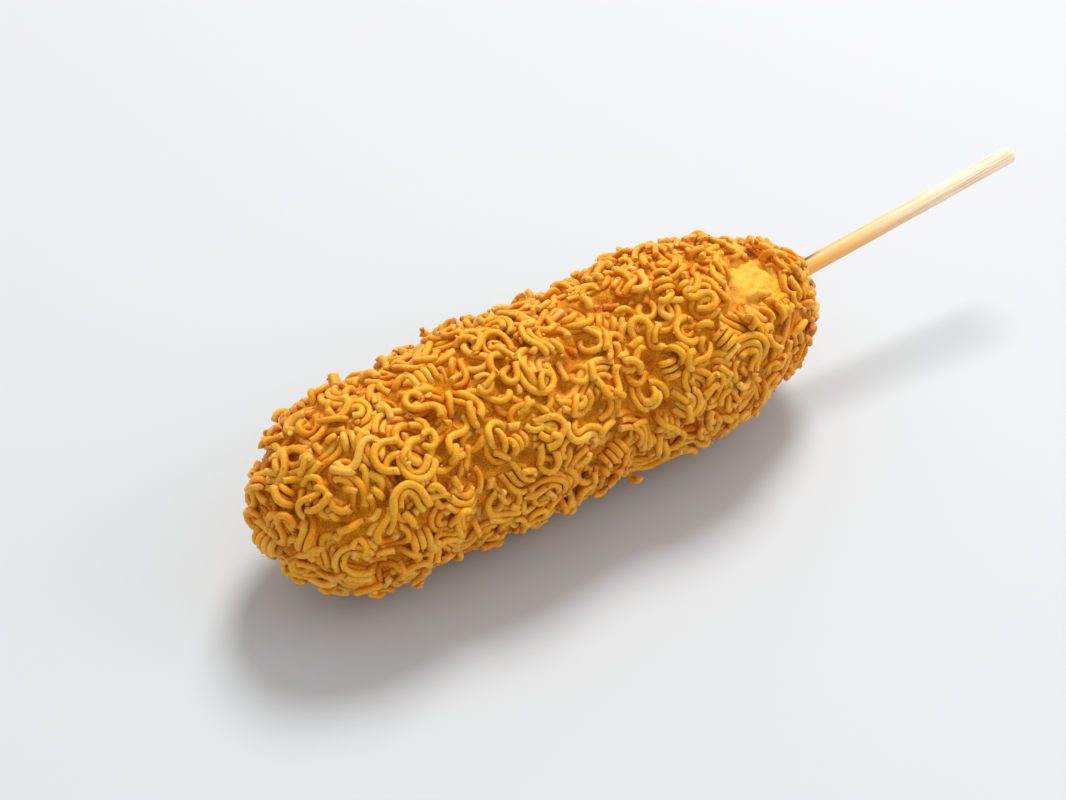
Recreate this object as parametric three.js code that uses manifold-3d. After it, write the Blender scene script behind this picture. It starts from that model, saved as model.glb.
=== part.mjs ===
// Corn dog on a stick, rolled in broken instant noodles and fried, lying on its side.
// Millimetres, +Z up. The body's axis runs along X with the nose at -X and the stick at +X.
// The origin is the centre of the small flat spot that the body rests on.
import * as THREE from "three";
import { mergeVertices } from "three/addons/utils/BufferGeometryUtils.js";
import Module from "manifold-3d";

const wasm = await Module();
wasm.setup();

// Driving dimensions: the body.
const BODY_LENGTH = 169; // over the noodles
const BODY_WIDTH = 55; // over the noodles
const COAT = 2.5; // how far the noodle coat stands out of the batter
const NOSE_DOME = { length: 36, power: 2.2 }; // power 2 is an ellipse, more is blunter
const STICK_DOME = { length: 47, power: 2 };
const SWELL = { height: 0.9, spacing: 53, crest: 40 }; // slow swells, with one crest at this X
const REST_SPOT = { length: 46, width: 17, depth: 2.6 }; // batter flattened where the body lies

// Driving dimensions: the stick, a 3/16 inch skewer 8 1/2 inches long.
const STICK_DIAMETER = 4.8;
const STICK_LENGTH = 216;
const STICK_SHOWING = 73; // beyond the end of the body
const STICK_RISE = THREE.MathUtils.degToRad(6.3);
const STICK_CROSSES = 52.5; // the stick meets the body's axis this far inside its end
const STICK_CHAMFER = 0.4;
const STICK_GAP = 0.3; // round the stick, in the hole that holds it

// Driving dimensions: the noodles, in bundles of one to three strands side by side.
const BUNDLES = 72;
const NOODLE_DIAMETER = 2.2;
const PITCH = 2.0; // from one strand of a bundle to the next
const VALLEY = 0.1; // height over the strands' middle where two of them meet
const FOOT = 1.3; // depth under the strands' middle where they stand in the batter
const WAVE = [24, 30, 38]; // length of strand in one full wave, for one, two and three strands
const SHARE = [0.45, 0.75]; // least and most of a wave that a bundle has
const SWING = [1.2, 1.6]; // least and most that a strand's heading turns, in radians
const RISE = [0.5, 1.2]; // least and most height of a strand's middle over the batter
const LEAN = [-0.15, 0.15]; // least and most slope along it, out of the batter
const RISE_LIMITS = [0.2, 3.0];
const FACET = [3.0, 3.6, 4.2]; // length of a straight facet, for one, two and three strands

// How finely the round shapes are cut.
const CORE_RINGS = 22;
const CORE_SIDES = 22;
const REST_SIDES = 20;
const STICK_SIDES = 20;

// What follows from them.
const CORE_HALF = BODY_LENGTH / 2 - COAT;
const CORE_RADIUS = BODY_WIDTH / 2 - COAT;
const REST_SUNK = 0.2; // overlap of the rest spot's batter with the body
const AXIS_HEIGHT = CORE_RADIUS + REST_SPOT.depth - REST_SUNK;
const NOODLE_RADIUS = NOODLE_DIAMETER / 2;
const GOLDEN_ANGLE = Math.PI * (3 - Math.sqrt(5));
const SAME_POINT = 1e-4; // corners closer than this are one, in a single shape
const WELD = 1e-3; // and in the joined body

// A repeatable number from 0 to 1 for bundle i and use j.
function draw(i, j) {
  const wide = Math.sin(i * 12.9898 + j * 78.233) * 43758.5453;
  return wide - Math.floor(wide);
}

function between([least, most], share) {
  return least + (most - least) * share;
}

// --- The batter body --------------------------------------------------------

// Radius of the straight part at x, with its slow swells.
function swell(x) {
  return CORE_RADIUS + SWELL.height * Math.cos((2 * Math.PI * (x - SWELL.crest)) / SWELL.spacing);
}

// How much of the section the domes take away at x: 0 between them, 1 at either tip.
function domeShare(x) {
  const nose = Math.max(0, (NOSE_DOME.length - CORE_HALF - x) / NOSE_DOME.length);
  const end = Math.max(0, (STICK_DOME.length - CORE_HALF + x) / STICK_DOME.length);
  return nose ** NOSE_DOME.power + end ** STICK_DOME.power;
}

function coreRadius(x) {
  return swell(x) * Math.sqrt(Math.max(0, 1 - domeShare(x)));
}

// The level function is 0 on the batter's surface, less inside and more outside.
function level(p) {
  const r2 = p.y * p.y + (p.z - AXIS_HEIGHT) ** 2;
  return r2 / swell(p.x) ** 2 + domeShare(p.x) - 1;
}

function levelGradient(p) {
  const step = 0.01;
  const at = (dx, dy, dz) => level(new THREE.Vector3(p.x + dx, p.y + dy, p.z + dz));
  return new THREE.Vector3(
    at(step, 0, 0) - at(-step, 0, 0),
    at(0, step, 0) - at(0, -step, 0),
    at(0, 0, step) - at(0, 0, -step),
  ).divideScalar(2 * step);
}

// The point of the batter's surface under p, and the way out there, by Newton's steps.
function ontoCore(p) {
  const newtonSteps = 4;
  const q = p.clone();
  for (let turn = 0; turn < newtonSteps; turn++) {
    const slope = levelGradient(q);
    q.addScaledVector(slope, -level(q) / slope.lengthSq());
  }
  return { point: q, out: levelGradient(q).normalize() };
}

function coreGeometry() {
  const profile = [];
  for (let k = 0; k <= CORE_RINGS; k++) {
    const x = -CORE_HALF * Math.cos((Math.PI * k) / CORE_RINGS);
    profile.push(new THREE.Vector2(coreRadius(x), x));
  }
  profile[0].x = 0;
  profile[CORE_RINGS].x = 0;
  const lathe = new THREE.LatheGeometry(profile, CORE_SIDES);
  lathe.rotateZ(-Math.PI / 2);
  lathe.translate(0, 0, AXIS_HEIGHT);
  return lathe;
}

// The flattened batter under the body, a low dome that the floor cuts.
function restGeometry() {
  const dome = new THREE.SphereGeometry(1, REST_SIDES, REST_SIDES / 2);
  dome.scale(REST_SPOT.length / 2, REST_SPOT.width / 2, REST_SPOT.depth * 2);
  return dome;
}

// --- The noodles ------------------------------------------------------------

// A strand's path in its own plane: its heading swings to and fro like a meander.
function meander(length, wave, swing, phase, steps) {
  const fine = 4;
  const step = length / (steps * fine);
  const at = new THREE.Vector2(0, 0);
  const points = [at.clone()];
  for (let k = 0; k < steps * fine; k++) {
    const s = (k + 0.5) * step - length / 2;
    const heading = swing * Math.sin((2 * Math.PI * s) / wave + phase);
    at.x += step * Math.cos(heading);
    at.y += step * Math.sin(heading);
    if ((k + 1) % fine === 0) points.push(at.clone());
  }
  const middle = points[Math.floor(points.length / 2)].clone();
  return points.map((p) => p.sub(middle));
}

// Section of strands side by side: a ridge for each one, over a flat foot in the batter.
function ridges(strands) {
  const half = (strands * PITCH) / 2;
  const outline = new THREE.Shape();
  outline.moveTo(-half, -FOOT);
  outline.lineTo(half, -FOOT);
  outline.lineTo(half, VALLEY);
  for (let k = strands; k > 0; k--) {
    outline.lineTo((k - 0.5) * PITCH - half, NOODLE_RADIUS);
    outline.lineTo((k - 1) * PITCH - half, VALLEY);
  }
  outline.closePath();
  return outline;
}

// The section carried along the points: its x goes across the path, its y out of the batter.
function carried(section, points, outs) {
  const steps = points.length - 1;
  const bar = new THREE.ExtrudeGeometry(section, { depth: steps, steps, bevelEnabled: false });
  const corners = bar.attributes.position;
  for (let n = 0; n < corners.count; n++) {
    const k = Math.round(corners.getZ(n));
    const ahead = points[Math.min(k + 1, steps)].clone().sub(points[Math.max(k - 1, 0)]);
    const across = outs[k].clone().cross(ahead).normalize();
    const corner = points[k].clone();
    corner.addScaledVector(across, corners.getX(n)).addScaledVector(outs[k], corners.getY(n));
    corners.setXYZ(n, corner.x, corner.y, corner.z);
  }
  return bar;
}

// Where bundle i is seated: evenly along the body, each a golden angle round from the last.
function seatOf(i) {
  const x = CORE_HALF * ((2 * i + 1) / BUNDLES - 1);
  const around = i * GOLDEN_ANGLE;
  const r = coreRadius(x);
  return ontoCore(
    new THREE.Vector3(x, r * Math.cos(around), AXIS_HEIGHT + r * Math.sin(around)),
  );
}

// Bundle i: a few strands of one shape, side by side, pressed onto the batter.
function bundleGeometry(i) {
  const seat = seatOf(i);
  const side = new THREE.Vector3(1, 0, 0).cross(seat.out).normalize();
  const ahead = seat.out.clone().cross(side);
  const turn = 2 * Math.PI * draw(i, 1);
  const u = ahead.multiplyScalar(Math.cos(turn)).addScaledVector(side, Math.sin(turn));
  const v = seat.out.clone().cross(u);

  const strands = 1 + Math.floor(WAVE.length * draw(i, 2));
  const wave = WAVE[strands - 1];
  const length = wave * between(SHARE, draw(i, 3));
  const steps = Math.round(length / FACET[strands - 1]);
  const swing = between(SWING, draw(i, 4));
  const path = meander(length, wave, swing, 2 * Math.PI * draw(i, 5), steps);
  const rise = between(RISE, draw(i, 6));
  const lean = between(LEAN, draw(i, 7));

  const points = [];
  const outs = [];
  for (const p of path) {
    const flat = seat.point.clone().addScaledVector(u, p.x).addScaledVector(v, p.y);
    const { point, out } = ontoCore(flat);
    const over = THREE.MathUtils.clamp(rise + lean * p.x, ...RISE_LIMITS);
    points.push(point.addScaledVector(out, over));
    outs.push(out);
  }
  return carried(ridges(strands), points, outs);
}

// --- The stick --------------------------------------------------------------

// A turned rod with slightly broken edges; extra widens it into the hole that holds it.
function stickGeometry(extra) {
  const r = STICK_DIAMETER / 2 + extra;
  const half = STICK_LENGTH / 2 + extra;
  const outline = [
    [0, -half],
    [r - STICK_CHAMFER, -half],
    [r, STICK_CHAMFER - half],
    [r, half - STICK_CHAMFER],
    [r - STICK_CHAMFER, half],
    [0, half],
  ].map(([away, along]) => new THREE.Vector2(away, along));
  return new THREE.LatheGeometry(outline, STICK_SIDES).rotateZ(-Math.PI / 2);
}

function stickMiddle() {
  const crossing = new THREE.Vector3(BODY_LENGTH / 2 - STICK_CROSSES, 0, AXIS_HEIGHT);
  const along = new THREE.Vector3(Math.cos(STICK_RISE), 0, Math.sin(STICK_RISE));
  return crossing.addScaledVector(along, STICK_CROSSES + STICK_SHOWING - STICK_LENGTH / 2);
}

// --- Joining and cutting ----------------------------------------------------

function solid(geometry, tolerance = SAME_POINT) {
  const bare = geometry.clone();
  bare.deleteAttribute("normal");
  bare.deleteAttribute("uv");
  const merged = mergeVertices(bare, tolerance);
  return new wasm.Manifold(
    new wasm.Mesh({
      numProp: 3,
      vertProperties: new Float32Array(merged.attributes.position.array),
      triVerts: new Uint32Array(merged.index.array),
    }),
  );
}

function geometryOf(manifold) {
  const mesh = manifold.getMesh();
  const positions = new THREE.BufferAttribute(new Float32Array(mesh.vertProperties), 3);
  const corners = new THREE.BufferAttribute(new Uint32Array(mesh.triVerts), 1);
  return new THREE.BufferGeometry().setAttribute("position", positions).setIndex(corners);
}

// The largest body of a join: loose scraps are dropped and sealed hollows filled.
function largest(manifold) {
  return manifold.decompose().sort((a, b) => b.volume() - a.volume())[0];
}

function coatedBodyGeometry() {
  const middle = stickMiddle();
  const hole = stickGeometry(STICK_GAP).rotateY(-STICK_RISE).translate(...middle);
  const floor = new THREE.BoxGeometry(2 * BODY_LENGTH, 2 * BODY_WIDTH, BODY_WIDTH);
  floor.translate(0, 0, -BODY_WIDTH / 2);

  const added = [coreGeometry(), restGeometry()];
  for (let i = 0; i < BUNDLES; i++) added.push(bundleGeometry(i));
  const joined = wasm.Manifold.union(added.map((shape) => solid(shape)))
    .subtract(solid(hole))
    .subtract(solid(floor));
  return geometryOf(largest(solid(geometryOf(largest(joined)), WELD)));
}

const coatedBody = new THREE.Mesh(
  coatedBodyGeometry(),
  new THREE.MeshStandardMaterial({ color: 0xd08a2c, roughness: 0.5, metalness: 0 }),
);
coatedBody.name = "noodle_coated_body";

const stick = new THREE.Mesh(
  stickGeometry(0),
  new THREE.MeshStandardMaterial({ color: 0xf0d5a0, roughness: 0.6, metalness: 0 }),
);
stick.name = "stick";
stick.position.copy(stickMiddle());
stick.rotation.y = -STICK_RISE;

const cornDog = new THREE.Group();
cornDog.add(coatedBody, stick);

export default cornDog;
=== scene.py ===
"""Looks of a corn dog rolled in broken curly noodles and fried, laid on its side on a plain floor.

Lengths are in metres, +Z up. The body's axis runs along X, with the nose at -X and the stick at +X.
"""
import math

import bpy
import numpy as np
from bpy.props import FloatProperty, FloatVectorProperty, IntProperty, PointerProperty
from mathutils import Matrix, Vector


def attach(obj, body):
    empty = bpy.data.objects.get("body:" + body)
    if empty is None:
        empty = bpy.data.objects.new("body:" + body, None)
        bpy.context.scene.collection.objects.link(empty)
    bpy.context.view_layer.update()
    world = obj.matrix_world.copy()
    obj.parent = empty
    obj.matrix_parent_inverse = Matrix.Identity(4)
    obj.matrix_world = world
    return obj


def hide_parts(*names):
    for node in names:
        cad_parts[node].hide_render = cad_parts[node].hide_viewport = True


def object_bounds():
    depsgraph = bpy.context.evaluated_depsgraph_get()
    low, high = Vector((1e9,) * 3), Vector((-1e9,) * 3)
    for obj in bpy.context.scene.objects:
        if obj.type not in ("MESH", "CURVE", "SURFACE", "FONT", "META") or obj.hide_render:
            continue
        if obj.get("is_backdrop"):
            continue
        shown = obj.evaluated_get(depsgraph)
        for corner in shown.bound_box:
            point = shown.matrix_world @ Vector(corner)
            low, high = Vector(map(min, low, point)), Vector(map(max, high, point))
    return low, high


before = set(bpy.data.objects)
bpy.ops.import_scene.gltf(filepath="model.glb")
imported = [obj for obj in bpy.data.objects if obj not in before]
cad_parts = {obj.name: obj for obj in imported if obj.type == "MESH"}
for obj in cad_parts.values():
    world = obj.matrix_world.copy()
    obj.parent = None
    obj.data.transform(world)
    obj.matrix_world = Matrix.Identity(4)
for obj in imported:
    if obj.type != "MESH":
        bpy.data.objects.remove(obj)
CAD_LOW, CAD_HIGH = (tuple(corner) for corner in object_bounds())

bl_info = {
    "name": "Noodle Corn Dog",
    "version": (1, 0, 0),
    "blender": (4, 5, 0),
    "location": "3D View > Sidebar > Corn Dog",
    "description": "Builds a fried corn dog with a coat of broken curly noodles",
    "category": "Object",
}

MM = 0.001
UP = np.array([0.0, 0.0, 1.0])
ALONG = np.array([1.0, 0.0, 0.0])
GOLDEN_ANGLE = math.pi * (3 - math.sqrt(5))
BODY_NODE = "noodle_coated_body"
STICK_NODE = "stick"


# --- Settings ---------------------------------------------------------------


def length(name, description, millimetres):
    """A length, given in millimetres and kept in metres."""
    return FloatProperty(
        name=name, description=description, default=millimetres * MM, subtype="DISTANCE", unit="LENGTH"
    )


def degrees(name, description, value):
    """An angle, given in degrees and kept in radians."""
    return FloatProperty(name=name, description=description, default=math.radians(value), subtype="ANGLE")


def colour(name, description, default):
    """A colour, as linear red, green and blue."""
    return FloatVectorProperty(
        name=name, description=description, default=default, subtype="COLOR", size=3, min=0, max=1
    )


class CornDogBody(bpy.types.PropertyGroup):
    """Sizes of the batter body, as the solid has them."""

    body_length: length("Body length", "Over the noodles", 169)
    body_width: length("Body width", "Over the noodles", 55)
    coat: length("Coat", "How far the noodles stand out of the solid's batter", 2.5)
    nose_dome: length("Nose dome", "Length of the rounded nose", 36)
    nose_power: FloatProperty(name="Nose power", description="2 is an ellipse", default=2.2)
    stick_dome: length("Stick dome", "Length of the rounded end at the stick", 47)
    stick_power: FloatProperty(name="Stick power", description="2 is an ellipse", default=2.0)
    swell_height: length("Swell height", "Height of the slow swells", 0.9)
    swell_spacing: length("Swell spacing", "From crest to crest", 53)
    swell_crest: length("Swell crest", "X of one crest", 40)
    axis_height: length("Axis height", "Of the body's axis over the floor", 27.4)
    rest_length: length("Resting spot length", "Batter flattened on the floor", 46)
    rest_width: length("Resting spot width", "Batter flattened on the floor", 17)
    batter_drop: length("Batter drop", "Bare batter lies this far inside the solid's", 2.6)


class CornDogNoodles(bpy.types.PropertyGroup):
    """Sizes, numbers and colours of the noodles."""

    diameter: length("Noodle diameter", "Of one strand", 2.0)
    pitch: length("Pitch", "From one strand of a bundle to the next", 1.9)
    bundles: IntProperty(name="Bundles", description="Bundles fused on the solid", default=72)
    rolls: IntProperty(name="Rolls", description="Seats for rolls of arches and wide loops", default=320)
    strands: IntProperty(name="Strands", description="Seats for curls and waves", default=2100)
    stubs: IntProperty(name="Stubs", description="Seats for short broken bits", default=420)
    hooks: IntProperty(name="Hooks", description="Seats for bits that stand up", default=270)
    golden: colour("Golden", "Noodle that stands clear", (0.81, 0.390, 0.030))
    # Partly painted shade: besides a toasted colour, this is what the sides of strands and the strands sunk
    # in hollows are darkened towards.
    toasted_and_shade: colour("Toasted_and_shade", "Noodle sunk in the batter", (0.61, 0.165, 0.001))
    starchy: colour("Starchy", "Broken noodle ends", (0.90, 0.53, 0.13))


class CornDogBatter(bpy.types.PropertyGroup):
    """Sizes and colours of the batter, its bare patch and its crumbs."""

    patch_at: length("Bare patch", "X of the middle of the patch without noodles", 58)
    patch_turn: degrees("Bare patch turn", "Round the body", 112)
    patch_length: length("Bare patch length", "Half of it, along the body", 12)
    patch_width: length("Bare patch width", "Half of it, round the body", 9)
    patch_rise: length("Bare patch rise", "How far it bulges", 2.3)
    crust: colour("Crust", "Batter between the noodles", (0.72, 0.285, 0.006))
    # Painted shade: the batter's colour where it lies low in the hollows between strands, darker than the
    # crust.
    hollow_shade: colour("Deep crust", "Batter in the hollows", (0.38, 0.078, 0.0005))
    bare: colour("Bare batter", "The bare patch near the stick", (1.0, 0.57, 0.075))
    burnt: colour("Burnt", "Dark specks", (0.16, 0.050, 0.012))
    crumbs: IntProperty(name="Crumbs", description="Seats for crumbs", default=600)


class CornDogStick(bpy.types.PropertyGroup):
    """Sizes and colours of the wooden stick."""

    diameter: length("Diameter", "Of the stick", 4.8)
    stick_length: length("Length", "Of the whole stick", 216)
    showing: length("Showing", "Beyond the end of the body", 73)
    crosses: length("Crosses", "It meets the body's axis this far inside its end", 52.5)
    rise: degrees("Rise", "Above the body's axis", 6.3)
    wood: colour("Wood", "Clean wood", (0.96, 0.82, 0.64))
    grain: colour("Grain", "Darker streaks", (0.80, 0.48, 0.21))
    oiled: colour("Oiled", "Wood stained by the frying oil", (0.90, 0.43, 0.09))
    burn: colour("Burn", "Scorched wood beside the body", (0.10, 0.035, 0.012))


class CornDogStage(bpy.types.PropertyGroup):
    """Floor, lights and camera."""

    floor_size: length("Floor", "Length of its side", 6000)
    floor: colour("Floor colour", "Plain and pale", (0.555, 0.585, 0.62))
    key_power: FloatProperty(name="Key light", description="Power", default=32.5, unit="POWER")
    fill_power: FloatProperty(name="Fill light", description="Power", default=2.5, unit="POWER")
    sky: FloatProperty(name="Surrounding light", description="Strength", default=0.68)


# --- Small tools ------------------------------------------------------------


def fraction(angles):
    """Repeatable numbers from 0 to 1: the fractions of a large multiple of some sines."""
    wide = np.sin(angles) * 43758.5453
    return wide - np.floor(wide)


def draw(i, j):
    """Repeatable number from 0 to 1 for piece i and use j."""
    return fraction(i * 12.9898 + j * 78.233)


def between(limits, share):
    return limits[0] + (limits[1] - limits[0]) * share


def unit(vectors):
    return vectors / np.maximum(np.linalg.norm(vectors, axis=-1, keepdims=True), 1e-12)


def smooth_step(low, high, x):
    """0 below low and 1 above high, with a cubic 3t^2 - 2t^3 between them."""
    t = np.clip((x - low) / (high - low), 0, 1)
    return t * t * (3 - 2 * t)


def lattice(cells, seed):
    """Repeatable numbers from 0 to 1 on whole-number places."""
    return fraction(cells @ np.array([127.1, 311.7, 74.7]) + seed * 19.19)


def noise(points, size, seed=0):
    """Smooth value noise from -1 to 1: eight lattice values round each point, cubically mixed."""
    scaled = points / size
    cell = np.floor(scaled)
    t = scaled - cell
    t = t * t * (3 - 2 * t)
    total = 0.0
    for corner in range(8):
        step = np.array([corner & 1, corner >> 1 & 1, corner >> 2 & 1])
        weight = np.prod(np.where(step == 1, t, 1 - t), axis=-1)
        total = total + weight * lattice(cell + step, seed)
    return 2 * total - 1


def layered(points, layers, start=0.0):
    """A sum of noises, each given by its amount, its size in millimetres and its seed."""
    return sum((amount * noise(points, size * MM, seed) for amount, size, seed in layers), start)


def sway(points, size, seed):
    """Smooth shifts to three sides, each from -1 to 1."""
    return np.stack([noise(points, size, seed + 7 * axis) for axis in range(3)], axis=-1)


# --- The batter's round form ------------------------------------------------


class Core:
    """The solid's batter surface, and the way out of it at any point."""

    def __init__(self, size, batter):
        self.half = size.body_length / 2 - size.coat
        self.radius = size.body_width / 2 - size.coat
        self.size = size
        self.batter = batter
        self.axis = np.array([0.0, 0.0, size.axis_height])

    def swell(self, x):
        """Radius of the straight part: a constant and a slow cosine."""
        turns = (x - self.size.swell_crest) / self.size.swell_spacing
        return self.radius + self.size.swell_height * np.cos(2 * np.pi * turns)

    def dome_share(self, x):
        """Share of the section that the domes take: a power of the way into each dome."""
        nose = np.maximum(0, (self.size.nose_dome - self.half - x) / self.size.nose_dome)
        end = np.maximum(0, (self.size.stick_dome - self.half + x) / self.size.stick_dome)
        return nose**self.size.nose_power + end**self.size.stick_power

    def radius_at(self, x):
        """Radius of the section at x: the straight part's, less as the domes take more of it."""
        return self.swell(x) * np.sqrt(np.maximum(0, 1 - self.dome_share(x)))

    def level(self, p):
        """0 on the surface, less inside: squared distance over squared radius, plus the domes' share."""
        y, z = p[..., 1], p[..., 2] - self.size.axis_height
        return (y * y + z * z) / self.swell(p[..., 0]) ** 2 + self.dome_share(p[..., 0]) - 1

    def slope(self, p):
        """Gradient of the level, by central differences."""
        step = 0.01 * MM
        sides = [self.level(p + step * e) - self.level(p - step * e) for e in np.eye(3)]
        return np.stack(sides, axis=-1) / (2 * step)

    def seat(self, p):
        """The surface point under each p, and the unit way out there, by four Newton steps."""
        q = np.array(p, dtype=float)
        for _ in range(4):
            slope = self.slope(q)
            q -= slope * (self.level(q) / np.sum(slope * slope, axis=-1))[..., None]
        return q, unit(self.slope(q))

    def place(self, x, around):
        """The surface point at x along the axis and an angle around it, 90 degrees being the top."""
        r = self.radius_at(x)
        ring = np.stack(np.broadcast_arrays(x, r * np.cos(around), r * np.sin(around)), axis=-1)
        return self.seat(ring + self.axis)

    def patch_distance(self, p):
        """Distance from the bare patch's middle, along the body and round it: about 1 on its edge,
        which smooth noise makes ragged."""
        ahead = (p[..., 0] - self.batter.patch_at) / self.batter.patch_length
        angle = np.arctan2(p[..., 2] - self.size.axis_height, p[..., 1]) - self.batter.patch_turn
        turn = (angle + np.pi) % (2 * np.pi) - np.pi
        apart = np.hypot(ahead, turn * self.radius_at(p[..., 0]) / self.batter.patch_width)
        return apart + 0.35 * noise(p, 3.6 * MM, seed=15)


def turned_axes(out, turn):
    """Two unit vectors in the surface, turned about the way out: one ahead, one to its side."""
    side = unit(np.cross(ALONG, out))
    ahead = np.cross(out, side)
    u = ahead * np.cos(turn)[..., None] + side * np.sin(turn)[..., None]
    return u, np.cross(out, u)


# --- Strands ----------------------------------------------------------------


def meander(arc, wave, swing, phase, samples, middle=0.0):
    """Plane path whose heading is swing * sin(2 pi s / wave + phase), with s from -arc/2 to arc/2.

    Each argument may be an array of paths. The point at s = middle is the origin. A phase of pi
    makes an arch, 0 makes a cup, and a quarter turn between them makes an S."""
    arc, wave, swing, phase = (np.asarray(a, dtype=float)[..., None] for a in (arc, wave, swing, phase))
    share = np.linspace(-0.5, 0.5, samples)
    heading = swing * np.sin(2 * np.pi * arc * share / wave + phase)
    mean = (heading[..., 1:] + heading[..., :-1]) / 2
    steps = arc / (samples - 1) * np.stack([np.cos(mean), np.sin(mean)])
    path = np.concatenate([np.zeros_like(steps[..., :1]), np.cumsum(steps, axis=-1)], axis=-1)
    at = np.round((middle / arc[..., 0] + 0.5) * (samples - 1)).astype(int)
    k = np.broadcast_to(np.clip(at, 0, samples - 1)[..., None], path.shape[:-1] + (1,))
    return path - np.take_along_axis(path, k, axis=-1)


class Kind:
    """Limits, in millimetres and degrees, between which the strands of one kind are drawn.

    Bend is how near to a plain arch the drawn phases stay: 0 is an arch, 1 is any part of a wave.
    Cap is the height that they may reach, and sink how far they're pushed in to keep under it. Sway
    is how far they stray from their plane path."""

    def __init__(self, arc, wave, swing, tilt, samples, cap, bend, sink=0.7, sway=0.35):
        self.arc = arc
        self.wave = wave
        self.swing = swing
        self.tilt = np.radians(tilt)
        self.samples = samples
        self.cap = cap * MM
        self.bend = (1 - bend, 1 + bend)
        self.sink = sink * MM
        self.sway = sway * MM


KINDS = {
    "rolls": Kind((10, 14), (21, 27), (1.7, 2.2), (50, 95), 16, 1.4, bend=0.2, sink=2.2),
    "loops": Kind((14, 20), (26, 33), (1.8, 2.3), (-30, 30), 19, 1.0, bend=0.3),
    "curls": Kind((11, 19), (20, 28), (1.4, 2.2), (-65, 65), 17, 0.9, bend=0.55),
    "waves": Kind((11, 19), (19, 30), (0.8, 1.5), (-40, 40), 17, 0.8, bend=1),
    "stubs": Kind((2.6, 6.5), (20, 36), (0.3, 1.3), (-80, 80), 8, 0.9, bend=1, sway=0.2),
    "arches": Kind((10.5, 11.5), (22, 23), (1.9, 2.1), (80, 95), 16, 2.4, bend=0, sink=2.4, sway=0.2),
    "hooks": Kind((5.5, 10), (18, 24), (1.2, 2.1), (55, 115), 12, 2.8, bend=0.6, sink=1.6),
}


# The first number of each list of strands, and of their turns: the draws start from it.
FIRST = {"turns": 1000, "standouts": 7000, "wide": 9000, "hooks": 8000, "stubs": 5000}


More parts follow.
